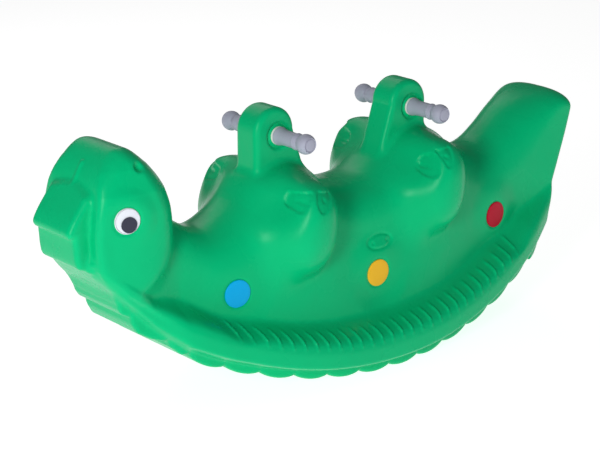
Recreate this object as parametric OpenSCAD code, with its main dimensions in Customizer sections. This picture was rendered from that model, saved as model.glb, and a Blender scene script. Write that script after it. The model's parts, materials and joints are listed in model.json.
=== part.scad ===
// Three-seat rocking seesaw shaped like a crocodile: a hollow moulded body with two
// turning handlebars, plug-in eyes and coloured spots.
// The head points to -X, the tail to +X, and the rider's left side is -Y.

/* [Body] */
// Length of the body from snout to tail
body_length = 1200; // [1160:10:1240]
// Width across the foot ledges
body_width = 376; // [352:4:400]
// Height of the handlebar axis above the floor
handle_height = 455; // [450:1:462]
// Wall thickness of the moulded body
wall = 4; // [3:0.5:5]

/* [Rocker] */
// Radius of the arc that the belly rocks on
rocker_radius = 900; // [860:10:940]
// Distance between two scallops under the belly
scallop_pitch = 70; // [60:1:74]
// Depth of the grooves between the scallops
scallop_depth = 9; // [5:1:12]

/* [Handlebars] */
// Distance between the two handlebars
handle_pitch = 330; // [324:1:336]
// Length of each handlebar from tip to tip
handle_span = 242; // [220:2:260]
// Outer diameter of the steel tube inside the grips
tube_diameter = 20; // [18:1:22]
// Diameter of the grip where the hand closes
grip_diameter = 28; // [27:0.5:30]
// Diameter of the knob at the end of each grip
knob_diameter = 37; // [34:1:40]

/* [Posts] */
// Length of each post along the body
post_length = 92; // [84:2:96]
// Thickness of each post across the body
post_thickness = 62; // [56:1:66]

/* [Discs] */
// Diameter of the coloured spots
spot_diameter = 52; // [44:1:56]
// Diameter of the white of the eye
eye_diameter = 46; // [40:1:50]
// Diameter of the pupil
pupil_diameter = 28; // [22:1:32]

/* [Hidden] */
$fn = 48;
eps = 0.01;

green = [0.02, 0.63, 0.40];
grey = [0.62, 0.64, 0.69];
steel = [0.72, 0.73, 0.75];
white = [0.90, 0.91, 0.92];
black = [0.06, 0.06, 0.07];
blue = [0.02, 0.55, 0.78];
yellow = [0.92, 0.66, 0.12];
red = [0.66, 0.04, 0.14];

// The outline below is drawn for a body 1200 long and 376 wide, and stretched to its size.
x_scale = body_length / 1200;
y_scale = body_width / 376;
// The two handlebar axes stand at the same height, one post each.
front_x = 37 - handle_pitch / 2 / x_scale;
rear_x = 37 + handle_pitch / 2 / x_scale;
// The body balances over the middle of the rocking arc.
balance_x = 35;

// Value at x of a smooth curve through the keys [[x, value], ...].
function span_of(x, keys, i = 0) =
    i >= len(keys) - 2 || x < keys[i + 1][0] ? i : span_of(x, keys, i + 1);
function slope_at(keys, i) =
    let (a = max(i - 1, 0), b = min(i + 1, len(keys) - 1))
    (keys[b][1] - keys[a][1]) / (keys[b][0] - keys[a][0]);
function curve_at(x, keys) =
    let (
        i = span_of(x, keys),
        run = keys[i + 1][0] - keys[i][0],
        t = min(max((x - keys[i][0]) / run, 0), 1)
    )
    (2 * t^3 - 3 * t^2 + 1) * keys[i][1] + (t^3 - 2 * t^2 + t) * run * slope_at(keys, i)
    + (3 * t^2 - 2 * t^3) * keys[i + 1][1] + (t^3 - t^2) * run * slope_at(keys, i + 1);
function step_up(a, b, x) = let (t = min(max((x - a) / (b - a), 0), 1)) t * t * (3 - 2 * t);

// Ridge line of the body in the middle plane, from the snout over the head, the three
// saddles and the humps under the posts, to the tail.
ridge_line = [
    [-600, 372], [-592, 394], [-575, 414], [-550, 440], [-515, 484], [-490, 500], [-465, 500],
    [-430, 466], [-400, 424], [-375, 376], [-350, 336], [-325, 320], [-300, 314], [-265, 322],
    [-225, 346], [-185, 388], [-125, 407], [-70, 394], [-30, 360], [0, 347], [35, 343],
    [80, 348], [120, 370], [160, 406], [205, 420], [260, 406], [300, 372], [335, 348],
    [365, 342], [400, 348], [440, 372], [480, 402], [520, 424], [560, 436], [585, 433], [600, 418],
];
// Underside where it leaves the rocking arc: chin and breast at the head end, the back of
// the tail at the other.
chin_line = [
    [-600, 366], [-588, 360], [-586, 320], [-575, 309], [-556, 296], [-540, 276], [-520, 246], [-505, 222],
    [-470, 172],
];
tail_line = [[460, 94], [488, 104], [514, 135], [530, 180], [549, 226], [574, 305], [586, 352], [600, 410]];
// Half width of the body at the outside of the rim, and of its side below the rounded top.
rim_half_width = [
    [-600, 58], [-590, 62], [-585, 64], [-575, 68], [-555, 78], [-505, 88], [-452, 98], [-400, 126],
    [-350, 140], [-298, 150], [-230, 165], [-150, 178], [-60, 186], [40, 188], [140, 186], [230, 176],
    [310, 160], [390, 138], [460, 116], [530, 96], [570, 84], [600, 76],
];
side_half_width = [
    [-600, 58], [-575, 66], [-562, 84], [-520, 86], [-490, 86], [-450, 84], [-390, 74], [-350, 76],
    [-300, 86], [-250, 94], [-200, 110], [-150, 126], [-110, 128], [-60, 120], [-20, 106], [35, 98],
    [90, 102], [140, 112], [190, 128], [235, 126], [280, 110], [320, 96], [365, 86], [420, 80],
    [480, 78], [560, 78], [600, 74],
];
// Height of the rounded top above the side.
top_rounding = [
    [-600, 8], [-570, 18], [-550, 30], [-520, 80], [-490, 110], [-420, 80], [-350, 40], [-300, 45],
    [-220, 60], [-150, 84], [-90, 80], [-30, 55], [35, 45], [100, 60], [170, 84], [240, 84], [300, 60],
    [365, 45], [450, 26], [600, 22],
];
// How square the rounded top is: 1 is an ellipse, less is squarer.
top_squareness = [[-600, 0.6], [-480, 0.6], [-400, 0.85], [380, 0.85], [460, 0.6], [600, 0.6]];

// The arc passes through the flat lands of the two scallops that the body rests on.
land_half = 4;
pitch = scallop_pitch / x_scale;
rest_rise = rocker_radius - sqrt(rocker_radius^2 - (scallop_pitch / 2)^2);
function lowest_x(x) = balance_x + pitch * (floor((x - balance_x) / pitch) + 0.5);
function on_land(x) = abs(x - lowest_x(x)) <= land_half + eps;
function land_x(x) = on_land(x) ? lowest_x(x) : x;
function arc_z(x) =
    rocker_radius - sqrt(rocker_radius^2 - (x_scale * (land_x(x) - balance_x))^2) - rest_rise;
function scallop(x) = on_land(x) ? 0 : scallop_depth * (1 - abs(sin(180 * (x - balance_x) / pitch)) ^ 0.6);
function ridge_z(x) = curve_at(x, ridge_line);
function ledge_fade(x) = step_up(-470, -420, x) * (1 - step_up(520, 550, x));
function on_arc(x) = x >= -470 && x <= 460;
// Underside of a skin. On the steep ends the inner skin also moves in along the body.
function base_z(x, inset) =
    inset + (on_arc(x) ? arc_z(x) : x < 0 ? lookup(x - inset, chin_line) : lookup(x + inset, tail_line));

// Top edge of a post in side view: a dome on upright edges, with one edge flared at its foot.
// The dome's centre is a little ahead of the handlebar axis and above it.
dome_radius = post_length / 2;
dome_shift = 8;
dome_z = handle_height + dome_shift;
flare_length = 22;
flare_slope = 3.2;
function post_z(x, axis_x, flare, inset) =
    let (
        r = dome_radius - inset,
        u = x_scale * (x - axis_x) + dome_shift,
        v = flare * u - r
    )
    abs(u) <= r + eps ? dome_z + sqrt(max(r^2 - u^2, 0))
    : v > 0 && v < flare_length ? dome_z - flare_slope * v : 0;
function posts_z(x, inset) =
    max(post_z(x, front_x, 1, inset), post_z(x, rear_x, -1, inset));

// Swelling of the side under a post, where the leg of the animal is.
function leg(x, z, centre_x, centre_z) =
    let (
        u = x - centre_x - 0.22 * (z - centre_z),
        r = sqrt((u / (u < 0 ? 78 : 60))^2 + (max(centre_z - z, 0) / 92)^2)
    )
    42 * (1 - step_up(u < 0 ? 0.35 : 0.6, 1.12, r));
function cheek(x, z) =
    let (r = sqrt(((x + 470) / 74)^2 + ((z - 372) / 122)^2))
    16 * (1 - step_up(0.5, 1.08, r));

// Where each disc sits on the left side: centre in side view, distance from the middle
// plane, and the turn towards the head. The side is flat round each one.
eye_seat = [-510, 388, 98, 14];
blue_seat = [-272, 201, 91, 8];
yellow_seat = [46, 175, 113, 0];
red_seat = [379, 216, 91, -6];
// The wall is twice as thick there, so that the recess doesn't cut through it.
flat_radius = 38;
function flattened(y, x, z, seat, inset) =
    let (w = 1 - step_up(flat_radius, flat_radius + 22, norm([x - seat[0], z - seat[1]])))
    y * (1 - w) + (seat[2] - 2 * inset + tan(seat[3]) * (x - seat[0])) * w;
function on_side(y, x, z, inset) =
    let (
        a = flattened(y, x, z, eye_seat, inset),
        b = flattened(a, x, z, blue_seat, inset),
        c = flattened(b, x, z, yellow_seat, inset)
    )
    flattened(c, x, z, red_seat, inset);
function swelling(x, z, inset) =
    (leg(x, z, -132, 322) + leg(x, z, 195, 336) + cheek(x, z)) * (1 - inset / 40);

// Half of one cross-section, from the belly up to the ridge, as [y, z] points. The outer
// skin has inset 0, and the inner skin is the same shape one wall thickness further in.
hole_half = 9;
flank_steps = 6;
crown_places = [0.96, 0.8, 0.4];
function half_section(x, inset) =
    let (
        fade = ledge_fade(x),
        floor_z = base_z(x, 0),
        low = base_z(x, inset) + (!on_arc(x) ? 0 : inset == 0 ? scallop(x) : scallop_depth),
        top = ridge_z(x) - inset,
        rim = curve_at(x, rim_half_width) - inset,
        room = top + inset - floor_z,
        level = function (i, h, share) max(floor_z + min(h, room * share), low + min(2 * i, room * share)),
        foot = rim - 14 * fade,
        ledge = rim - 60 * fade,
        side = curve_at(x, side_half_width) - inset,
        rounding = min(curve_at(x, top_rounding), room * 0.5),
        ledge_z = level(8, 102 - inset, 0.4),
        side_z = top - rounding,
        edge = side + swelling(x, side_z, inset),
        power = lookup(x, top_squareness),
        half_post = post_thickness / 2 / y_scale - inset,
        crest = function (y) side_z + rounding * (1 - (y / edge)^(2 / power))^(power / 2),
        peak = posts_z(x, inset) - inset,
        lower = [
            [0, low], [hole_half, low], [foot - 5, low], [foot, low + min(6, room * 0.1)],
            [foot, level(4, 22 + inset, 0.16)], [rim, level(5, 33 + inset, 0.2)],
            [rim, level(6, 68 - inset, 0.3)], [rim - 8 * fade, level(7, 80 - inset, 0.34)],
        ],
        flank = [for (i = [0:flank_steps]) let (q = i / flank_steps, z = ledge_z + (side_z - ledge_z) * q)
            [on_side(ledge + (side - ledge) * (1 - (1 - q)^1.2) + swelling(x, z, inset), x, z, inset), z]],
        crown = [for (f = crown_places) let (y = half_post + 3 + (edge - half_post - 3) * f, z = crest(y))
            [on_side(y, x, z, inset), z]],
        post = [
            [half_post + 2, crest(half_post + 2)],
            [half_post, max(crest(half_post), peak - 14)],
            [half_post - 4, max(crest(half_post - 4), peak - 4)],
            [half_post - 13, max(crest(half_post - 13), peak)],
            [0, max(top, peak)],
        ]
    )
    concat(lower, flank, crown, post);

// Closed ring of points round the body at x, from its half section.
function ring_at(x, half) =
    concat(
        [for (p = half) [x_scale * x, -y_scale * p[0], p[1]]],
        [for (j = [len(half) - 2:-1:1]) [x_scale * x, y_scale * half[j][0], half[j][1]]]
    );
// Triangles between two rings of n points that start at index a and b.
function band(a, b, n, skip = []) =
    [for (j = [0:n - 1]) let (k = (j + 1) % n)
        if (len([for (s = skip) if (s == j) s]) == 0) each [[a + j, a + k, b + k], [a + j, b + k, b + j]]];
function fan(a, n, middle) = [for (j = [0:n - 1]) [a + j, middle, a + (j + 1) % n]];
function flipped(faces) = [for (f = faces) [f[0], f[2], f[1]]];

// Stations along the body. The two on either side of the filler hole are in both skins.
step = pitch / 2;
first_bottom = balance_x + step;
function trunk(from, to) =
    let (first = ceil((from - first_bottom) / step), last = floor((to - first_bottom) / step))
    [for (k = [first:last]) first_bottom + k * step];
// A post has its stations over the dome, and two close to each upright edge.
function post_stations(axis_x, flare, inset) =
    let (
        r = dome_radius - inset,
        plain_side = [for (a = [90:-30:-60]) -r * sin(a)],
        flared_side = [r, r + flare_length / 2, r + flare_length - 0.1, r + flare_length + 1],
        places = concat([-dome_radius - 1], inset > 0 ? [-r - 0.6] : [], plain_side, flared_side)
    )
    flare > 0
        ? [for (u = places) axis_x + (u - dome_shift) / x_scale]
        : [for (i = [len(places) - 1:-1:0]) axis_x + (-places[i] - dome_shift) / x_scale];
hole_x = first_bottom + pitch * round((290 - first_bottom) / pitch);
hole_stations = [hole_x - 7, hole_x + 7];
// The skins share their stations, but for the ends and the posts.
land_places = [for (k = [-1, 0]) each [for (u = [-land_half, land_half, step]) first_bottom + k * pitch + u]];
function middle_stations(inset) = concat(
    [-575, -562, -548, -530, -512, -492, -476, -462],
    trunk(-452, front_x - dome_radius - 13), post_stations(front_x, 1, inset),
    trunk(front_x + dome_radius + 20, first_bottom - pitch - 5), land_places,
    post_stations(rear_x, -1, inset), trunk(rear_x + dome_radius, hole_stations[0] - 10),
    hole_stations, trunk(hole_stations[1] + 10, 458),
    [466, 480, 496, 514, 527, 540, 556, 574]
);
outer_stations = concat([-600, -596, -588.5, -586], middle_stations(0), [590, 600]);
inner_stations = concat([-582], middle_stations(wall), [588]);

// The body as one closed skin: outer surface, inner surface, and the four sides of the
// filler hole that joins them.
module hollow_skin() {
    outer = [for (x = outer_stations) ring_at(x, half_section(x, 0))];
    inner = [for (x = inner_stations) ring_at(x, half_section(x, wall))];
    n = len(outer[0]);
    start = len(outer) * n;
    // Each end of each skin is closed by a fan round a middle point.
    ends = [for (ring = [outer[0], outer[len(outer) - 1], inner[0], inner[len(inner) - 1]])
        (ring[0] + ring[n / 2]) / 2];
    last = start + len(inner) * n;
    hole_out = [for (i = [0:len(outer) - 1]) if (outer_stations[i] == hole_stations[0]) i][0];
    hole_in = [for (i = [0:len(inner) - 1]) if (inner_stations[i] == hole_stations[0]) i][0];
    outer_bands = [for (i = [0:len(outer) - 2])
        each band(i * n, (i + 1) * n, n, i == hole_out ? [0, n - 1] : [])];
    inner_bands = [for (i = [0:len(inner) - 2])
        each flipped(band(start + i * n, start + (i + 1) * n, n, i == hole_in ? [0, n - 1] : []))];
    o = hole_out * n;
    p = start + hole_in * n;
    // Corners of the hole in order, in the outer skin and in the inner skin.
    rim_out = [o, o + 1, o + n + 1, o + n, o + 2 * n - 1, o + n - 1];
    rim_in = [p, p + 1, p + n + 1, p + n, p + 2 * n - 1, p + n - 1];
    hole_sides = [for (j = [0:5]) let (k = (j + 1) % 6)
        each [[rim_out[j], rim_out[k], rim_in[k]], [rim_out[j], rim_in[k], rim_in[j]]]];
    polyhedron(
        [each each outer, each each inner, each ends],
        concat(
            outer_bands, fan(0, n, last), flipped(fan(start - n, n, last + 1)),
            inner_bands, flipped(fan(start, n, last + 2)), fan(last - n, n, last + 3),
            hole_sides
        )
    );
}

// A disc lies in a recess, and stands proud of the side by the rest of its thickness.
spot_thickness = 2.5;
spot_depth = 2;
eye_thickness = 4;
eye_depth = 1.5;
pupil_depth = 0.8;
pupil_offset = [2, -6];
disc_gap = 0.5;

bush_diameter = tube_diameter + 6;
bush_flange = bush_diameter + 8;
bush_flange_thickness = 2;
bush_length = 16;
bush_clearance = 0.05;
face_recess = 2;
face_y = post_thickness / 2 - face_recess;
plug_diameter = 24;
plug_length = 16;
plug_recess = 3;

tube_wall = 1.5;
tube_length = handle_span - 44;
grip_start = face_y + bush_flange_thickness + 0.5;
grip_end = handle_span / 2 - 1;
cap_diameter = 22;
cap_stem = 14;
cap_stem_length = 12;

// Places its children on a seat of the left side (side = -1) or the right side (side = 1):
// Z points out of the body and X towards the tail.
module on_seat(seat, side) {
    mirror([0, side > 0 ? 1 : 0, 0])
    translate([x_scale * seat[0], -y_scale * seat[2], seat[1]])
    rotate([0, 0, -seat[3]])
    rotate([90, 0, 0])
    children();
}

// Places its children on a handlebar axis: Z points to the left side or the right side.
module on_axis(axis_x, side) {
    translate([x_scale * axis_x, 0, handle_height])
    rotate([-90 * side, 0, 0])
    children();
}

module body_shell() {
    color(green)
    difference() {
        hollow_skin();
        for (axis_x = [front_x, rear_x], side = [-1, 1]) on_axis(axis_x, side) {
            translate([0, 0, 8]) cylinder(d = bush_diameter, h = post_thickness);
            translate([0, 0, face_y]) cylinder(d = bush_flange + 4, h = 20);
        }
        translate([x_scale * hole_x, 0, -1]) cylinder(d = plug_diameter, h = 70);
        for (side = [-1, 1]) {
            on_seat(eye_seat, side) translate([0, 0, -eye_depth])
                cylinder(d = eye_diameter + disc_gap, h = 20);
            for (seat = [blue_seat, yellow_seat, red_seat])
                on_seat(seat, side) translate([0, 0, -spot_depth])
                    cylinder(d = spot_diameter + disc_gap, h = 20);
        }
    }
}

module bar(axis_x) {
    color(steel)
    on_axis(axis_x, -1)
    difference() {
        cylinder(d = tube_diameter, h = tube_length, center = true);
        cylinder(d = tube_diameter - 2 * tube_wall, h = tube_length + 2, center = true);
    }
}

// Flanged sleeve that lines the hole in one wall of a post.
module bush(axis_x, side) {
    color(white)
    on_axis(axis_x, side)
    difference() {
        union() {
            translate([0, 0, face_y - bush_length]) cylinder(d = bush_diameter, h = bush_length);
            translate([0, 0, face_y]) cylinder(d = bush_flange, h = bush_flange_thickness);
        }
        cylinder(d = tube_diameter + 2 * bush_clearance, h = 2 * post_thickness, center = true);
    }
}

// Grip pushed on the end of the bar: inner collar, waist, shaft and round knob.
module grip(axis_x, side) {
    knob_r = knob_diameter / 2;
    knob_y = grip_end - 13;
    shaft_r = grip_diameter / 2;
    collar_r = shaft_r + 3;
    bore_r = tube_diameter / 2;
    tube_end = tube_length / 2;
    knob = [for (a = [-50:10:50]) [knob_r * cos(a), knob_y + knob_r * sin(a)]];
    color(grey)
    on_axis(axis_x, side)
    rotate_extrude($fn = 64)
    polygon(concat(
        [[bore_r, grip_start], [collar_r, grip_start], [collar_r, grip_start + 4],
         [shaft_r + 0.5, grip_start + 9], [shaft_r, grip_start + 20],
         [shaft_r, knob_y - 26], [shaft_r + 2, knob_y - 21]],
        knob,
        [[cap_diameter / 2 + 1, grip_end], [cap_diameter / 2, grip_end], [cap_diameter / 2, grip_end - 2],
         [cap_stem / 2, grip_end - 2], [cap_stem / 2, tube_end], [bore_r, tube_end]]
    ));
}

// Plug that closes the outer end of a grip.
module cap(axis_x, side) {
    color(grey)
    on_axis(axis_x, side)
    rotate_extrude($fn = 64)
    polygon([
        [0, grip_end + 1], [cap_diameter / 2 - 3, grip_end + 0.8], [cap_diameter / 2, grip_end - 0.2],
        [cap_diameter / 2, grip_end - 2], [cap_stem / 2, grip_end - 2],
        [cap_stem / 2, grip_end - cap_stem_length], [0, grip_end - cap_stem_length],
    ]);
}

module eye(side) {
    color(white)
    on_seat(eye_seat, side)
    difference() {
        union() {
            translate([0, 0, -eye_depth]) cylinder(d = eye_diameter, h = eye_thickness - 1);
            translate([0, 0, eye_thickness - 1 - eye_depth])
                cylinder(d1 = eye_diameter, d2 = eye_diameter - 4, h = 1);
        }
        translate([pupil_offset[0], pupil_offset[1], eye_thickness - eye_depth - pupil_depth])
            cylinder(d = pupil_diameter, h = 5);
    }
}

module pupil(side) {
    color(black)
    on_seat(eye_seat, side)
    translate([pupil_offset[0], pupil_offset[1], eye_thickness - eye_depth - pupil_depth])
    cylinder(d = pupil_diameter, h = pupil_depth);
}

module spot(seat, side, tint) {
    color(tint)
    on_seat(seat, side)
    translate([0, 0, -spot_depth])
    cylinder(d = spot_diameter, h = spot_thickness);
}

// Cup-shaped plug in the hole that the body was blown through.
module filler_plug() {
    plug_z = arc_z(hole_x) + plug_recess;
    color(green)
    translate([x_scale * hole_x, 0, plug_z])
    difference() {
        cylinder(d = plug_diameter, h = plug_length);
        translate([0, 0, 3]) cylinder(d = plug_diameter - 5, h = plug_length);
    }
}

body_shell();
bar(front_x);  // front_bar
bar(rear_x);  // rear_bar
bush(front_x, -1);  // front_left_bush
bush(front_x, 1);  // front_right_bush
bush(rear_x, -1);  // rear_left_bush
bush(rear_x, 1);  // rear_right_bush
grip(front_x, -1);  // front_left_grip
grip(front_x, 1);  // front_right_grip
grip(rear_x, -1);  // rear_left_grip
grip(rear_x, 1);  // rear_right_grip
cap(front_x, -1);  // front_left_cap
cap(front_x, 1);  // front_right_cap
cap(rear_x, -1);  // rear_left_cap
cap(rear_x, 1);  // rear_right_cap
eye(-1);  // left_eye
eye(1);  // right_eye
pupil(-1);  // left_pupil
pupil(1);  // right_pupil
spot(blue_seat, -1, blue);  // left_blue_spot
spot(blue_seat, 1, blue);  // right_blue_spot
spot(yellow_seat, -1, yellow);  // left_yellow_spot
spot(yellow_seat, 1, yellow);  // right_yellow_spot
spot(red_seat, -1, red);  // left_red_spot
spot(red_seat, 1, red);  // right_red_spot
filler_plug();
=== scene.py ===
"""Three-seat rocking seesaw shaped like a crocodile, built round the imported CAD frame."""
import json
import math

import bpy
import numpy as np
from mathutils import Matrix, Vector


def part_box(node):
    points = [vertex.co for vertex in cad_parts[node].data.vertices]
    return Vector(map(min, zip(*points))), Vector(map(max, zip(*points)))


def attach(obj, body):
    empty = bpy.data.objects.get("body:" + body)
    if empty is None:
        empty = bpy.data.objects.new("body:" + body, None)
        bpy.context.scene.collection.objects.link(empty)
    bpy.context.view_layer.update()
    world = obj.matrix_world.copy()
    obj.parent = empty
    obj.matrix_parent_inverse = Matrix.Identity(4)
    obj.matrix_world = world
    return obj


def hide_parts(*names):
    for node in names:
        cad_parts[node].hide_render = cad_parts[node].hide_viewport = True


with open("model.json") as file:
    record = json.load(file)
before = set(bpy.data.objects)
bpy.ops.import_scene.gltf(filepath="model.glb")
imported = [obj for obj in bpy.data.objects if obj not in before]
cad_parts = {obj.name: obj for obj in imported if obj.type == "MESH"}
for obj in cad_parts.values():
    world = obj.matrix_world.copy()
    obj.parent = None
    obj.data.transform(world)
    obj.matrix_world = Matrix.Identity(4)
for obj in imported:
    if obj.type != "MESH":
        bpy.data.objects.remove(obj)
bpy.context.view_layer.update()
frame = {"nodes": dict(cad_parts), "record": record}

MM = 0.001
BODY = "rocker_body"


# ---------------------------------------------------------------- frame sizes, in millimetres

def centre_of(node):
    """Middle of a CAD node's box, in millimetres."""
    low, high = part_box(node)
    return (low + high) / 2 / MM


FRONT_AXIS = centre_of("front_bar")
REAR_AXIS = centre_of("rear_bar")
HANDLE_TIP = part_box("front_right_cap")[1].y / MM
ROCKER_RADIUS = 900
SCALLOP_PITCH = 70
SCALLOP_DEPTH = 9
# The record's mount is one of the two flat lands that the belly rests on, half a pitch from balance.
BALANCE_X = frame["record"]["mounts"][0]["pos_m"][0] / MM - SCALLOP_PITCH / 2


# ---------------------------------------------------------------- small maths

def along(keys, x):
    """Smooth curve through the keys [(x, value), ...], read at x."""
    px = np.array([k[0] for k in keys], float)
    py = np.array([k[1] for k in keys], float)
    slope = np.empty_like(py)
    slope[1:-1] = (py[2:] - py[:-2]) / (px[2:] - px[:-2])
    slope[0] = (py[1] - py[0]) / (px[1] - px[0])
    slope[-1] = (py[-1] - py[-2]) / (px[-1] - px[-2])
    x = np.clip(x, px[0], px[-1])
    i = np.clip(np.searchsorted(px, x, side="right") - 1, 0, len(px) - 2)
    run = px[i + 1] - px[i]
    t = (x - px[i]) / run
    return (
        (2 * t**3 - 3 * t**2 + 1) * py[i]
        + (t**3 - 2 * t**2 + t) * run * slope[i]
        + (3 * t**2 - 2 * t**3) * py[i + 1]
        + (t**3 - t**2) * run * slope[i + 1]
    )


def bent(keys, x):
    """Straight lines through the keys [(x, value), ...], read at x."""
    return np.interp(x, [k[0] for k in keys], [k[1] for k in keys])


def step_up(a, b, x):
    """Soft step from 0 at a to 1 at b."""
    t = np.clip((x - a) / (b - a), 0, 1)
    return t * t * (3 - 2 * t)


def blend_min(a, b, k):
    """Union of two fields with a fillet of about k."""
    h = np.maximum(k - np.abs(a - b), 0) / k
    return np.minimum(a, b) - h * h * k / 4


def blend_max(a, b, k):
    """Intersection of two fields with a fillet of about k."""
    return -blend_min(-a, -b, k)


def round_max(a, b, radius):
    """Intersection of two fields with a round edge."""
    u, v = a + radius, b + radius
    return np.minimum(np.maximum(u, v), 0) + np.hypot(np.maximum(u, 0), np.maximum(v, 0)) - radius


def smooth_loop(points, steps=6):
    """Closed curve through given points."""
    p = np.array(points, float)
    t = np.arange(steps)[:, None] / steps
    out = []
    for i in range(len(p)):
        a, b, c, d = p[i - 1], p[i], p[(i + 1) % len(p)], p[(i + 2) % len(p)]
        square = (2 * a - 5 * b + 4 * c - d) * t**2
        cube = (3 * b - a - 3 * c + d) * t**3
        out.append(0.5 * (2 * b + (c - a) * t + square + cube))
    return np.concatenate(out)


def outline_field(loop, x, z):
    """Signed distance to a closed outline in side view, negative inside."""
    best = np.full(np.broadcast(x, z).shape, 1e9, np.float32)
    inside = np.zeros(best.shape, bool)
    for (x0, z0), (x1, z1) in zip(loop, np.roll(loop, -1, axis=0)):
        dx, dz = x1 - x0, z1 - z0
        t = np.clip(((x - x0) * dx + (z - z0) * dz) / (dx * dx + dz * dz + 1e-9), 0, 1)
        best = np.minimum(best, (x - x0 - t * dx) ** 2 + (z - z0 - t * dz) ** 2)
        if z0 != z1:
            inside ^= ((z0 > z) != (z1 > z)) & (x < x0 + (z - z0) * dx / dz)
    return np.where(inside, -1, 1) * np.sqrt(best)


# ---------------------------------------------------------------- outlines of the body
# Keys in millimetres. RIDGE is the top line in side view, TAIL_BACK and BREAST are the
# two ends of the underside, all as (x, z). RIM and SIDE are half widths at the foot ledge and at the
# shoulder, CROWN the height of the rounded top, SQUARE how square its section is (2 is an ellipse),
# and INSET how far the underside is drawn in below the rim band, all as (x, value).

RIDGE = [
    (-600, 340), (-520, 350), (-450, 356), (-400, 356), (-375, 350), (-350, 334), (-325, 320), (-300, 314),
    (-265, 322), (-225, 346), (-185, 388), (-125, 407), (-70, 390), (-30, 358), (0, 347), (35, 343),
    (80, 348), (120, 370), (160, 406), (205, 420), (260, 401), (300, 369), (335, 350), (365, 345),
    (400, 353), (440, 378), (480, 406), (520, 423), (560, 432), (585, 431), (604, 422),
]
TAIL_BACK = [(460, 101), (488, 109), (514, 136), (530, 180), (549, 226), (574, 305), (588, 352), (604, 415)]
BREAST = [
    (-556, 296), (-536, 277), (-521, 264), (-519, 250), (-515, 234), (-513, 222), (-506, 211), (-490, 202),
    (-487, 188), (-476, 170), (-455, 157), (-438, 150), (-424, 148), (-420, 136), (-402, 119), (-385, 118),
]
RIM = [
    (-600, 60), (-540, 70), (-505, 88), (-452, 98), (-400, 126), (-350, 140), (-298, 150), (-230, 165),
    (-150, 178), (-60, 186), (40, 188), (140, 186), (230, 176), (310, 162), (390, 145), (460, 125),
    (500, 109), (530, 96), (560, 87), (600, 85),
]
SIDE = [
    (-600, 60), (-520, 84), (-450, 84), (-390, 74), (-350, 76), (-300, 85), (-250, 92), (-200, 98),
    (-130, 104), (35, 98), (190, 106), (280, 98), (320, 92), (365, 85), (420, 80), (480, 80), (560, 85),
    (600, 85),
]
CROWN = [
    (-600, 30), (-420, 78), (-350, 78), (-300, 84), (-220, 92), (-130, 84), (35, 84), (190, 84), (300, 92),
    (365, 90), (440, 92), (500, 76), (560, 36), (604, 28),
]
SQUARE = [(-600, 2.3), (480, 2.3), (560, 2.6)]
INSET = [(-450, 18), (-300, 40), (-120, 38), (60, 27), (200, 24), (400, 17), (600, 17)]


def arc_z(x):
    """Rocking arc, set so that the two lands beside the balance line are at floor height."""
    rest = ROCKER_RADIUS - math.sqrt(ROCKER_RADIUS**2 - (SCALLOP_PITCH / 2) ** 2)
    return ROCKER_RADIUS - np.sqrt(ROCKER_RADIUS**2 - (x - BALANCE_X) ** 2) - rest


def scallop(x):
    """How far the belly is cut in between its lumps."""
    return SCALLOP_DEPTH * (1 - np.abs(np.sin(np.pi * (x - BALANCE_X) / SCALLOP_PITCH)) ** 0.6)


ARC_START, ARC_END = -400, 470
BREAST_END, TAIL_START = BREAST[-1][0], TAIL_BACK[0][0]


def belly_z(x):
    """Underside of the body: breast lumps, rocking arc, back of the tail."""
    front = bent(BREAST, x)
    back = along(TAIL_BACK, x)
    middle = arc_z(np.clip(x, ARC_START, ARC_END)) + scallop(x) * (1 - step_up(440, ARC_END, x))
    rear = np.where(x > TAIL_START, np.maximum(back, middle * (x < ARC_END)), middle)
    return np.where(x < BREAST_END, front, rear)


def ledge_base(x):
    """Smooth line that the heights of the ledge are counted from."""
    front = bent([(-560, 300), (-505, 222), (-452, 160), (-400, 112)], x)
    return np.where(x < ARC_START, front, arc_z(np.clip(x, ARC_START, 610)))


# How far each disc is turned about the upright in degrees, and the discs with a flat seat of their own.
TURNS = {"blue_spot": 8, "yellow_spot": 0, "red_spot": -6, "eye": 14, "pupil": 14}
SEATS = ["left_blue_spot", "left_yellow_spot", "left_red_spot", "left_eye"]
SEAT_GAP = 0.2


def turn_of(node):
    return TURNS[node.split("_", 1)[1]]


def seated(width, x, z, within=27, beyond=80):
    """The side made flat round each disc, level with the disc's rim."""
    for node in SEATS:
        middle = centre_of(node)
        near = 1 - step_up(within, beyond, np.hypot(x - middle.x, z - middle.z))
        plane = -middle.y + SEAT_GAP + math.tan(math.radians(turn_of(node))) * (x - middle.x)
        width = width * (1 - near) + plane * near
    return width


# Section of the foot ledge: (height over ledge_base, change of half width).
LEDGE = [(60, 0), (66, -1.6), (76, -5), (84, -14), (104, -64), (130, -140)]
LEDGE_EDGE = 76
LEDGE_HEIGHT = 102
FLANK_FOOT = 90


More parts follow.
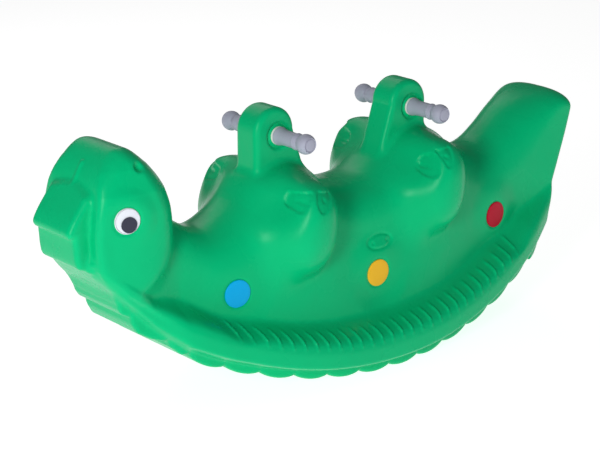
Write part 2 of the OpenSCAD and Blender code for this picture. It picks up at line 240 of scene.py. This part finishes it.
def half_width(x, z):
    """Half width of the body at a place in side view, below its rounded crown and without the legs."""
    share = step_up(-540, -500, x)
    base = ledge_base(x)
    ridge = along(RIDGE, x)
    # Where the body is low, the ledge takes up to 0.4 of its height.
    squeeze = np.minimum(np.maximum(ridge - base, 40) * 0.4 / LEDGE_HEIGHT, 1)
    t = (z - base) / squeeze
    rim = along(RIM, x)
    side = along(SIDE, x)
    lip = bent(LEDGE, t) - along(INSET, x) * (1 - step_up(20, 32, t))
    ledge = rim + lip * np.where(t > LEDGE_EDGE, 1, share)
    inner = np.maximum(rim - 60 * share, side - 3)
    foot = FLANK_FOOT * squeeze
    top = ridge - along(CROWN, x)
    q = np.clip((z - base - foot) / np.maximum(top - base - foot, 20), 0, 1)
    flank = inner + (side - inner) * (1 - (1 - q) ** 1.2)
    fillet = 16 + 34 * (1 - step_up(-430, -320, x))
    return np.where(t < LEDGE[0][0], ledge, -blend_min(-ledge, -flank, fillet))


# ---------------------------------------------------------------- sculpting grid

# The grid covers the half of the body on one side, and a few cells past the middle plane.
CELL = 2.5
PAST_MIDDLE = 2
GX = np.arange(-615, 615 + CELL, CELL, dtype=np.float32)
GY = np.arange(-PAST_MIDDLE * CELL, 204, CELL, dtype=np.float32)
GZ = np.arange(-12, 524, CELL, dtype=np.float32)
X2, Z2 = np.meshgrid(GX, GZ, indexing="ij")
X3, Y3, Z3 = GX[:, None, None], np.abs(GY)[None, :, None], GZ[None, None, :]


def blurred(a, radius):
    """Blur of a side-view map, radius in millimetres."""
    n = max(int(round(radius / CELL)), 1)
    kernel = np.hanning(2 * n + 3)[1:-1]
    kernel /= kernel.sum()
    for axis in (0, 1):
        padded = np.pad(a, [(n, n) if k == axis else (0, 0) for k in (0, 1)], mode="edge")
        a = sum(w * np.take(padded, range(i, i + a.shape[axis]), axis=axis) for i, w in enumerate(kernel))
    return a


def slope_of(a):
    """Steepness of a side-view map, which turns a difference across it into a distance."""
    gx, gz = np.gradient(a, CELL)
    return np.sqrt(1 + np.minimum(gx**2 + gz**2, 25))


def slab(outline, width, radius):
    """Rounded block: an outline in side view, and a map of its width on each side of the middle plane."""
    side = outline_field(outline, X2, Z2)[:, None, :]
    across = (Y3 - width[:, None, :]) / slope_of(width)[:, None, :]
    return round_max(side, across, radius)


def ridge_field():
    """Signed distance to the ridge line in side view, negative below it."""
    x = np.arange(-600, 605, 8.0)
    line = np.stack([x, along(RIDGE, x)], 1)
    far = [(900, line[-1, 1]), (900, -400), (-900, -400), (-900, line[0, 1])]
    return outline_field(np.concatenate([line, far]), X2, Z2)


TRUNK_FRONT, TRUNK_REAR = -565, 603


def trunk_field():
    """Belly, ledges, saddles, humps and tail."""
    width = seated(blurred(half_width(X2, Z2), 4), X2, Z2)
    crown = along(CROWN, X2)
    u = np.maximum(1 + ridge_field() / crown, 0)
    w = np.maximum(width, 30)[:, None, :]
    n = along(SQUARE, X2)[:, None, :]
    a, b = Y3 / w, u[:, None, :]
    q = (a**n + b**n) ** (1 / n) + 1e-6
    g = np.hypot((a / q) ** (n - 1) / w, (b / q) ** (n - 1) / crown[:, None, :])
    shell = (q - 1) / np.maximum(g, 1e-4)
    flank = (Y3 - width[:, None, :]) / slope_of(width)[:, None, :]
    upper = np.where(u[:, None, :] > 0, shell, flank)
    belly = belly_z(X2)
    under = (belly - Z2) / slope_of(blurred(belly, 6))
    edge = (7 + 4 * step_up(490, 550, X2))[:, None, :]
    field = round_max(under[:, None, :], upper, edge)
    ends = np.maximum(TRUNK_FRONT - X2, X2 - TRUNK_REAR)[:, None, :]
    return round_max(field, ends, 8)


# The animal's front and rear leg: (middle x, middle z, reach towards the tail).
LEGS = ((-136, 314, 70), (192, 333, 58))
LEG_Y = 90
LEG_SQUARE = 2.3


def leg_field(middle_x, middle_z, behind):
    """Upright egg on each side, slightly squared, that reaches further forward low down."""
    ahead = 62 - 26 * step_up(middle_z - 30, middle_z + 50, Z3)
    sizes = np.where(X3 < middle_x, ahead, behind), 76, np.where(Z3 < middle_z, 106, 76)
    places = np.abs(X3 - middle_x), np.abs(Y3 - LEG_Y), np.abs(Z3 - middle_z)
    n = LEG_SQUARE
    r = sum((p / a) ** n for p, a in zip(places, sizes)) ** (1 / n) + 1e-6
    slope = sum((p / a / r) ** (2 * n - 2) / a**2 for p, a in zip(places, sizes)) ** 0.5
    return (r - 1) / (slope + 1e-4)


# Side-view outlines of the head, the nose block and the jaw, as points (x, z).
HEAD = smooth_loop([
    (-486, 501), (-500, 500), (-511, 494), (-523, 483), (-538, 464), (-549, 441), (-557, 405), (-561, 372),
    (-561, 336), (-558, 310), (-551, 290), (-537, 270), (-516, 252), (-490, 244), (-460, 246), (-432, 258),
    (-410, 278), (-396, 306), (-391, 336), (-392, 366), (-398, 400), (-411, 434), (-430, 462), (-450, 482),
    (-468, 495),
])
NOSE = smooth_loop([
    (-601, 368), (-600, 376), (-591, 392), (-576, 412), (-560, 433), (-545, 452), (-520, 450), (-530, 400),
    (-540, 361), (-570, 361), (-594, 361),
])
JAW = smooth_loop([
    (-588, 372), (-589, 340), (-586, 314), (-578, 304), (-563, 299), (-549, 283), (-524, 266), (-510, 310),
    (-530, 372), (-560, 380),
])
# Half width of the head as (x, value), and how much narrower it gets towards its top as (z, value).
HEAD_SIDE = [
    (-600, 80), (-570, 86), (-540, 91), (-510, 98), (-480, 103), (-450, 105), (-420, 102), (-380, 90),
]
HEAD_TAPER = [(395, 0), (430, 4), (470, 16), (505, 33)]
NOSE_SIDE = 60
NOSE_TOP = 442
BEAD_TOP, BEAD_RUN, BEAD_R = (-531, 472), (-20, -34), 3.5
DIMPLE, DIMPLE_R = (-474, 85, 474), 9


def bead_field():
    """Short raised line down the middle of the face, from the forehead to the nose."""
    (x, z), (dx, dz) = BEAD_TOP, BEAD_RUN
    t = np.clip(((X2 - x) * dx + (Z2 - z) * dz) / (dx**2 + dz**2), 0, 1)
    return np.hypot(np.hypot(X2 - x - dx * t, Z2 - z - dz * t)[:, None, :], Y3) - BEAD_R


def head_field():
    """Box-shaped head with round cheeks, an arched nose block, and the jaw under it."""
    width = along(HEAD_SIDE, X2) - bent(HEAD_TAPER, Z2)
    edge = 12 + 10 * step_up(-560, -520, X2) + 28 * step_up(-500, -430, X2)
    head = slab(HEAD, seated(width, X2, Z2, 26, 60), edge[:, None, :])
    arch = Z3 - NOSE_TOP + 11 * (Y3 / 55) ** 2
    snout = np.full_like(X2, NOSE_SIDE)
    nose = round_max(slab(NOSE, snout, 12), arch, 8)
    field = blend_min(head, nose, 9)
    field = blend_min(field, slab(JAW, snout, 9), 4)
    field = blend_min(field, bead_field(), 5)
    x, y, z = DIMPLE
    dimple = np.sqrt((X3 - x) ** 2 + (Y3 - y) ** 2 + (Z3 - z) ** 2) - DIMPLE_R
    return blend_max(field, -dimple, 5)


POST_R = 45
POST_SIDE = 31
POST_FOOT = 330
BORE_R = 13
DISH_DEPTH = 6.5
SEAT_RISE = 4.5


def post_field(axis, flare):
    """Handle post: a dome on upright edges, with the edge on the flare side spread at its foot."""
    middle, dome_z = axis.x - 7, axis.z + 8
    a = np.radians(np.arange(0, 181, 6))
    dome = np.stack([middle + flare * POST_R * np.cos(a), dome_z + POST_R * np.sin(a)], 1)
    feet = [
        (middle - flare * POST_R, POST_FOOT), (middle + flare * (POST_R + 40), POST_FOOT),
        (middle + flare * (POST_R + 22), POST_FOOT + 63),
    ]
    return slab(np.concatenate([dome, feet]), np.full_like(X2, POST_SIDE), 11)


def bored(field, axis):
    """Dish round the bar on both faces of a post, a raised seat for the sleeve, and the bore."""
    r = np.hypot(X2 - axis.x, Z2 - axis.z)[:, None, :]
    depth = DISH_DEPTH * (1 - step_up(22, 28, r)) - SEAT_RISE * (1 - step_up(18, 22, r))
    face = Y3 - (POST_SIDE - depth)
    field = blend_max(field, np.where((r < 30) & (Y3 > 18), face, -99), 2)
    return np.maximum(field, BORE_R - r)


def oval(x, z, centre, radii, turn):
    """1 at the middle of an oval in side view, 0 on its edge, negative outside."""
    c, s = math.cos(math.radians(turn)), math.sin(math.radians(turn))
    u = ((x - centre[0]) * c + (z - centre[1]) * s) / radii[0]
    v = (-(x - centre[0]) * s + (z - centre[1]) * c) / radii[1]
    return 1 - np.hypot(u, v)


# Outlines of the toe marks in side view, two on each leg, and the dot in each one, as (x, z).
TOES = [
    [(-166, 368), (-156, 374), (-139, 375), (-147, 365), (-156, 353), (-166, 341), (-172, 353)],
    [(-130, 373), (-114, 371), (-97, 366), (-105, 355), (-122, 342), (-137, 340), (-141, 358)],
    [(149, 361), (159, 376), (170, 387), (167, 368), (163, 352), (154, 345), (148, 353)],
    [(174, 393), (188, 396), (201, 397), (196, 380), (187, 367), (178, 365), (175, 379)],
]
TOE_DOTS = [(-157, 358), (-122, 358), (158, 363), (184, 382)]
OVAL_DOTS = [(38, 232), (75, 232)]
DOT_DEPTH = 2.2
TOE_DEPTH = 3.2
GROOVE_DEPTH = 2.6
RECESS_DEPTH = 2.2
RIB_HEIGHT, RIB_PITCH, FIRST_RIB = 3.6, 25, -330


# Relief maps in side view: below zero is sunk into the body, above zero stands out of it.

def dots(places):
    """Small round dents."""
    return sum(-DOT_DEPTH * (1 - step_up(2, 5, np.hypot(X2 - x, Z2 - z))) for x, z in places)


def toe_marks():
    """Toes sunk into the front of each leg, with a dot in each one."""
    insides = [-outline_field(smooth_loop(toe, 4), X2, Z2) for toe in TOES]
    return dots(TOE_DOTS) + sum(-TOE_DEPTH * step_up(-1, 1.5, inside) for inside in insides)


def oval_mark():
    """Oval groove under the rear leg, with two dots in it."""
    around = oval(X2, Z2, (56, 233), (31, 15), 2) * 16
    return dots(OVAL_DOTS) - GROOVE_DEPTH * (step_up(-1.5, 1.5, around) - step_up(2, 5, around))


def recesses():
    """Shallow round recess for each disc."""
    relief = np.zeros_like(X2)
    for node in SEATS:
        middle = centre_of(node)
        low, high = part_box(node)
        radius = (high.z - low.z) / 2 / MM
        away = np.hypot(X2 - middle.x, Z2 - middle.z)
        relief -= RECESS_DEPTH * (1 - step_up(radius + 0.5, radius + 4, away))
    return relief


def ribs():
    """Foot ribs straight across the ledge on each side."""
    t = Z2 - ledge_base(X2)
    across = (0.45 * step_up(66, 70, t) + 0.55 * step_up(77, 81, t)) * (1 - step_up(92, 97, t))
    phase = (X2 - FIRST_RIB) / RIB_PITCH
    line = np.exp(-(((phase - np.round(phase)) * RIB_PITCH / 2.4) ** 4))
    run = step_up(-322, -310, X2) * (1 - step_up(410, 416, X2))
    return RIB_HEIGHT * line * across * run


PLUG_HOLE_R = 12.3


def surface():
    """The whole body as one field over the half grid."""
    field = trunk_field()
    for middle_x, middle_z, behind in LEGS:
        front = 1 - step_up(middle_x - 60, middle_x + 10, X3)
        above = step_up(middle_z - 10, middle_z + 50, Z3)
        soft = 22 + 30 * front * (1 - above) + 4 * above
        field = blend_min(field, leg_field(middle_x, middle_z, behind), soft)
    field = blend_min(field, head_field(), 10 + 20 * (1 - step_up(225, 300, Z3)))
    for axis, flare in ((FRONT_AXIS, 1), (REAR_AXIS, -1)):
        field = blend_min(field, post_field(axis, flare), 12)
    relief = oval_mark() + recesses() + ribs()
    field = field - relief[:, None, :] * step_up(60, 90, Y3)
    field = field - toe_marks()[:, None, :] * step_up(92, 104, Y3)
    for axis in (FRONT_AXIS, REAR_AXIS):
        field = bored(field, axis)
    plug = centre_of("filler_plug")
    plug_hole = np.minimum(PLUG_HOLE_R - np.hypot(X3 - plug.x, Y3), plug.z + 8 - Z3)
    return np.maximum(field, plug_hole).astype(np.float32)


# ---------------------------------------------------------------- skin of a field

def net(field, origin, cell):
    """Closed surface at the zero level of a field: one point in each cell that it crosses."""
    inside = field < 0
    corners = [(i, j, k) for i in (0, 1) for j in (0, 1) for k in (0, 1)]
    shape = tuple(n - 1 for n in field.shape)

    def corner(a, c):
        return a[c[0]: c[0] + shape[0], c[1]: c[1] + shape[1], c[2]: c[2] + shape[2]]

    count = sum(corner(inside, c).astype(np.int8) for c in corners)
    cells = np.argwhere((count > 0) & (count < 8))
    index = np.full(shape, -1, np.int32)
    index[tuple(cells.T)] = np.arange(len(cells))
    total = np.zeros((len(cells), 3))
    hits = np.zeros(len(cells))
    for a in corners:
        for axis in range(3):
            if a[axis]:
                continue
            b = tuple(v + (k == axis) for k, v in enumerate(a))
            fa = field[tuple((cells + a).T)]
            fb = field[tuple((cells + b).T)]
            cross = (fa < 0) != (fb < 0)
            t = np.where(cross, fa / np.where(cross, fa - fb, 1), 0)
            place = np.array(a, float)[None, :] + t[:, None] * (np.arange(3) == axis)
            total += place * cross[:, None]
            hits += cross
    points = (cells + total / hits[:, None]) * cell + origin
    faces = []
    for axis in range(3):
        u, v = (axis + 1) % 3, (axis + 2) % 3
        low = [slice(1, n) for n in field.shape]
        low[axis] = slice(0, field.shape[axis] - 1)
        high = list(low)
        high[axis] = slice(1, field.shape[axis])
        flips = inside[tuple(low)] != inside[tuple(high)]
        at = np.argwhere(flips)
        at[:, u] += 1
        at[:, v] += 1
        keep = (at[:, u] < field.shape[u] - 1) & (at[:, v] < field.shape[v] - 1)
        at = at[keep]
        goes_out = inside[tuple(at.T)]
        eu, ev = np.eye(3, dtype=int)[u], np.eye(3, dtype=int)[v]
        quad = np.stack([
            index[tuple((at - eu - ev).T)], index[tuple((at - ev).T)],
            index[tuple(at.T)], index[tuple((at - eu).T)],
        ], 1)
        quad[~goes_out] = quad[~goes_out][:, ::-1]
        faces.append(quad)
    return points, np.concatenate(faces)


def relaxed(points, faces, rounds):
    """Evens out the points a little without shrinking the shape."""
    edges = np.concatenate([faces[:, [0, 1]], faces[:, [1, 2]], faces[:, [2, 3]], faces[:, [3, 0]]])
    for factor in [0.5, -0.52] * rounds:
        total = np.zeros_like(points)
        hits = np.zeros(len(points))
        for a, b in ((0, 1), (1, 0)):
            for k in range(3):
                total[:, k] += np.bincount(edges[:, a], points[edges[:, b], k], len(points))
            hits += np.bincount(edges[:, a], minlength=len(points))
        points = points + factor * (total / hits[:, None] - points)
    return points


def mesh_piece(name, points, faces, body, material, stands_for):
    """Makes one visual piece, which rides a body and takes the place of the CAD nodes it stands for."""
    mesh = bpy.data.meshes.new(name)
    mesh.from_pydata([tuple(p) for p in points], [], [tuple(int(i) for i in f) for f in faces])
    mesh.validate()
    mesh.polygons.foreach_set("use_smooth", [True] * len(mesh.polygons))
    piece = bpy.data.objects.new(name, mesh)
    bpy.context.scene.collection.objects.link(piece)
    mesh.materials.append(material)
    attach(piece, body)
    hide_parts(*stands_for)


# ---------------------------------------------------------------- materials

def nodes_of(name):
    """New material, its node tree and its main shader."""
    material = bpy.data.materials.new(name)
    material.use_nodes = True
    tree = material.node_tree
    return material, tree, tree.nodes["Principled BSDF"]


def linear(colour):
    """Screen colour from 0 to 255 as linear light."""
    return [((c / 255 + 0.055) / 1.055) ** 2.4 if c > 10 else c / 255 / 12.92 for c in colour] + [1]


def plastic(name, colour, roughness, grain, mottle=0.06, gloss_level=0.22):
    """Moulded plastic: slight cloudiness in the colour, fine orange-peel, uneven gloss."""
    material, tree, shader = nodes_of(name)
    add, link = tree.nodes.new, tree.links.new
    place = add("ShaderNodeTexCoord")
    cloud = add("ShaderNodeTexNoise")
    cloud.inputs["Scale"].default_value = 9
    cloud.inputs["Detail"].default_value = 4
    link(place.outputs["Object"], cloud.inputs["Vector"])
    tint = add("ShaderNodeMix")
    tint.data_type = "RGBA"
    base = linear(colour)
    tint.inputs[6].default_value = [c * (1 - mottle) for c in base[:3]] + [1]
    tint.inputs[7].default_value = [min(c * (1 + mottle) + 0.002, 1) for c in base[:3]] + [1]
    link(cloud.outputs["Fac"], tint.inputs[0])
    link(tint.outputs[2], shader.inputs["Base Color"])
    gloss = add("ShaderNodeMapRange")
    gloss.inputs["To Min"].default_value = roughness - 0.05
    gloss.inputs["To Max"].default_value = roughness + 0.07
    link(cloud.outputs["Fac"], gloss.inputs["Value"])
    link(gloss.outputs["Result"], shader.inputs["Roughness"])
    fine = add("ShaderNodeTexNoise")
    fine.inputs["Scale"].default_value = 900
    fine.inputs["Detail"].default_value = 2
    link(place.outputs["Object"], fine.inputs["Vector"])
    wave = add("ShaderNodeTexNoise")
    wave.inputs["Scale"].default_value = 45
    wave.inputs["Detail"].default_value = 1
    link(place.outputs["Object"], wave.inputs["Vector"])
    height = add("ShaderNodeMath")
    height.operation = "MULTIPLY_ADD"
    height.inputs[1].default_value = 4
    link(wave.outputs["Fac"], height.inputs[0])
    link(fine.outputs["Fac"], height.inputs[2])
    bump = add("ShaderNodeBump")
    bump.inputs["Strength"].default_value = grain
    bump.inputs["Distance"].default_value = 0.0003
    link(height.outputs["Value"], bump.inputs["Height"])
    link(bump.outputs["Normal"], shader.inputs["Normal"])
    shader.inputs["Specular IOR Level"].default_value = gloss_level
    shader.inputs["Specular Tint"].default_value = [c * 0.6 + 0.4 for c in base[:3]] + [1]
    return material


GREEN = plastic(
    "green_polyethylene", (0, 186, 120), roughness=0.26, grain=0.5, mottle=0.04, gloss_level=0.16
)
GREY = plastic("grey_grip_plastic", (170, 172, 190), roughness=0.42, grain=0.2)
SLEEVE = plastic("white_sleeve_plastic", (236, 234, 232), roughness=0.4, grain=0.15)
STEEL = plastic("drawn_steel_tube", (190, 192, 196), roughness=0.28, grain=0.1)
EYE_WHITE = plastic("white_eye_plastic", (226, 230, 240), roughness=0.25, grain=0.05, mottle=0.02)
PUPIL = plastic("dark_pupil_plastic", (58, 58, 74), roughness=0.3, grain=0.05)
DISC = {
    "blue": plastic("blue_disc_plastic", (0, 172, 236), roughness=0.35, grain=0.1),
    "yellow": plastic("yellow_disc_plastic", (252, 192, 44), roughness=0.35, grain=0.1),
    "red": plastic("red_disc_plastic", (190, 6, 44), roughness=0.35, grain=0.1),
}

STEEL.node_tree.nodes["Principled BSDF"].inputs["Metallic"].default_value = 1
for node, material in (("front_bar", STEEL), ("rear_bar", STEEL), ("filler_plug", GREEN)):
    frame["nodes"][node].data.materials.clear()
    frame["nodes"][node].data.materials.append(material)


# ---------------------------------------------------------------- body

def make_body():
    """Mirrors the half field and skins it."""
    half = surface()
    field = np.concatenate([half[:, :PAST_MIDDLE:-1], half[:, PAST_MIDDLE:]], axis=1)
    origin = np.array([GX[0], -(len(GY) - 1 - PAST_MIDDLE) * CELL, GZ[0]])
    points, faces = net(field, origin, CELL)
    points = relaxed(points, faces, 1)
    mesh_piece("crocodile_body", points * MM, faces, BODY, GREEN, ["body_shell"])


make_body()


# ---------------------------------------------------------------- turned pieces

def turned(name, profile, place, body_name, material, stands_for, sides=72):
    """Solid of revolution: profile is [(radius, height), ...], place puts its axis in the frame."""
    angles = np.arange(sides) * 2 * np.pi / sides
    points = []
    for radius, height in profile:
        ring = [Vector((radius * math.cos(a), radius * math.sin(a), height)) for a in angles]
        points += [place @ point * MM for point in ring]
    rows = len(profile)
    faces = [
        (r * sides + k, r * sides + (k + 1) % sides, (r + 1) * sides + (k + 1) % sides, (r + 1) * sides + k)
        for r in range(rows - 1) for k in range(sides)
    ]
    mesh_piece(name, points, faces, body_name, material, stands_for)


def rounded(profile, steps=5):
    """Corners of a profile [(radius, height, fillet), ...] rounded with arcs."""
    out = []
    for i, (r, h, f) in enumerate(profile):
        if f == 0 or i in (0, len(profile) - 1):
            out.append((r, h))
            continue
        here = Vector((r, h))
        before = (Vector(profile[i - 1][:2]) - here).normalized() * f
        after = (Vector(profile[i + 1][:2]) - here).normalized() * f
        for k in range(steps + 1):
            t = k / steps
            p = here + before * (1 - t) ** 2 + after * t * t
            out.append((p.x, p.y))
    return out


def along_bar(axis, side):
    """Local Z along the handlebar, away from the middle, on one side."""
    turn = Matrix.Rotation(math.radians(-90 * side), 4, "X")
    return Matrix.Translation(Vector((axis.x, 0, axis.z))) @ turn


KNOB_R = 18.5
KNOB_Y = HANDLE_TIP - 14
BUSH_SEAT = POST_SIDE - DISH_DEPTH + SEAT_RISE
BUSH_FOOT, BUSH_TOP = 13, 33.4
GRIP_FOOT = BUSH_TOP + 0.2


def grip_profile():
    """Collar, waist, small ring, round knob, and the rim round the cap."""
    stem = rounded([
        (10.2, GRIP_FOOT, 0), (17, GRIP_FOOT, 0.6), (17.2, 36.5, 1.6), (15.2, 42, 4), (14.2, 52, 6),
        (14.1, KNOB_Y - 30, 3), (14.6, KNOB_Y - 25, 1), (15.6, KNOB_Y - 24, 0.6), (15.6, KNOB_Y - 22, 0.6),
        (14.8, KNOB_Y - 21, 0.6), (14.4, KNOB_Y - 15, 1),
    ])
    angles = [math.radians(a) for a in range(-48, 44, 6)]
    ball = [(KNOB_R * math.cos(a), KNOB_Y + KNOB_R * math.sin(a)) for a in angles]
    rim = rounded([
        (13.2, KNOB_Y + 13.2, 0), (12.4, HANDLE_TIP - 1.2, 0.8), (11.6, HANDLE_TIP - 2.4, 0.4),
        (10, HANDLE_TIP - 2.4, 0),
    ])
    return stem + ball + rim


CAP = rounded([
    (11.3, HANDLE_TIP - 3, 0), (11.3, HANDLE_TIP - 1.4, 0.6), (9, HANDLE_TIP - 0.4, 2),
    (0.01, HANDLE_TIP, 0),
])
BUSH = rounded([
    (BORE_R, BUSH_FOOT, 0), (BORE_R, BUSH_SEAT, 0), (17, BUSH_SEAT, 0.5), (17, BUSH_TOP, 0.8),
    (10.1, BUSH_TOP, 0.3), (10.1, BUSH_FOOT, 0), (BORE_R, BUSH_FOOT, 0),
])
for end, axis in (("front", FRONT_AXIS), ("rear", REAR_AXIS)):
    for hand, side in (("left", -1), ("right", 1)):
        bar = f"{end}_handlebar"
        place = along_bar(axis, side)
        grip, cap, bush = (f"{end}_{hand}_{part}" for part in ("grip", "cap", "bush"))
        turned(f"{grip}_moulding", grip_profile(), place, bar, GREY, [grip])
        turned(f"{cap}_moulding", CAP, place, bar, GREY, [cap])
        turned(f"{bush}_moulding", BUSH, place, BODY, SLEEVE, [bush])


# ---------------------------------------------------------------- discs

def seat_of(node, side):
    """Frame of a disc: Z out of the body, at the middle of the CAD disc's box."""
    turn = Matrix.Rotation(math.radians(turn_of(node) * side), 4, "Z")
    out = Matrix.Rotation(math.radians(90 * -side), 4, "X")
    return Matrix.Translation(centre_of(node)) @ turn @ out


SPOT_FORM = rounded([(0.01, -2, 0), (26, -2, 0.5), (26, 0.6, 1.2), (20, 1.3, 4), (0.01, 1.6, 0)])
EYE_FORM = rounded([(0.01, -2, 0), (23, -2, 0.5), (23, 1, 1.2), (18, 2, 4), (0.01, 2.3, 0)])
PUPIL_FORM = rounded([(0.01, -1, 0), (14, -1, 0.3), (14, 2.4, 0.8), (10, 2.9, 2), (0.01, 3, 0)])
for hand, side in (("left", -1), ("right", 1)):
    for colour in ("blue", "yellow", "red"):
        node = f"{hand}_{colour}_spot"
        turned(f"{node}_disc", SPOT_FORM, seat_of(node, side), BODY, DISC[colour], [node])
    eye, pupil = f"{hand}_eye", f"{hand}_pupil"
    turned(f"{eye}_disc", EYE_FORM, seat_of(eye, side), BODY, EYE_WHITE, [eye])
    turned(f"{pupil}_disc", PUPIL_FORM, seat_of(pupil, side), BODY, PUPIL, [pupil])


# ---------------------------------------------------------------- stage, light and camera

def make_stage():
    """Floor that glows almost white, so that it meets the background without an edge."""
    size = 12
    corners = [(-size, -size, 0), (size, -size, 0), (size, size, 0), (-size, size, 0)]
    mesh = bpy.data.meshes.new("floor")
    mesh.from_pydata(corners, [], [(0, 1, 2, 3)])
    floor = bpy.data.objects.new("floor", mesh)
    bpy.context.scene.collection.objects.link(floor)
    material, _, shader = nodes_of("pale_floor")
    shader.inputs["Base Color"].default_value = (0.5, 0.5, 0.5, 1)
    shader.inputs["Roughness"].default_value = 0.9
    shader.inputs["Emission Color"].default_value = (1, 1, 1, 1)
    shader.inputs["Emission Strength"].default_value = 0.85
    mesh.materials.append(material)


def soft_light(name, place, target, size, power):
    """Rectangular light at a place, turned to its target."""
    data = bpy.data.lights.new(name, "AREA")
    data.shape = "RECTANGLE"
    data.size, data.size_y = size
    data.energy = power
    light = bpy.data.objects.new(name, data)
    light.location = place
    light.rotation_mode = "QUATERNION"
    light.rotation_quaternion = (Vector(target) - Vector(place)).to_track_quat("-Z", "Y")
    bpy.context.scene.collection.objects.link(light)


def make_camera():
    """Camera of the photo: three quarters from the head, a little from above."""
    yaw, pitch = math.radians(40), math.radians(18)
    data = bpy.data.cameras.new("camera")
    data.sensor_width = 36
    data.lens = 114
    camera = bpy.data.objects.new("camera", data)
    camera.location = (-2.2289, -2.5946, 1.3621)
    look = Vector((math.sin(yaw) * math.cos(pitch), math.cos(yaw) * math.cos(pitch), -math.sin(pitch)))
    camera.rotation_mode = "QUATERNION"
    camera.rotation_quaternion = look.to_track_quat("-Z", "Y")
    data.clip_start, data.clip_end = 0.1, 60
    bpy.context.scene.collection.objects.link(camera)
    bpy.context.scene.camera = camera


make_stage()
soft_light("key", (-2.9, -1.9, 1.3), (0, 0, 0.3), (0.6, 1.1), 68)
soft_light("fill", (1.6, -3.2, 1.2), (0, 0, 0.3), (2.2, 1.6), 3)
soft_light("back", (0.6, 2.4, 2.2), (0, 0, 0.3), (2.4, 1.6), 16)
soft_light("top", (0, 0, 3.6), (0, 0, 0), (5, 5), 10)
make_camera()
world = bpy.data.worlds.new("studio")
bpy.context.scene.world = world
world.use_nodes = True
world.node_tree.nodes["Background"].inputs["Color"].default_value = (1, 1, 1, 1)
world.node_tree.nodes["Background"].inputs["Strength"].default_value = 0.12
bpy.context.scene.view_settings.view_transform = "Standard"
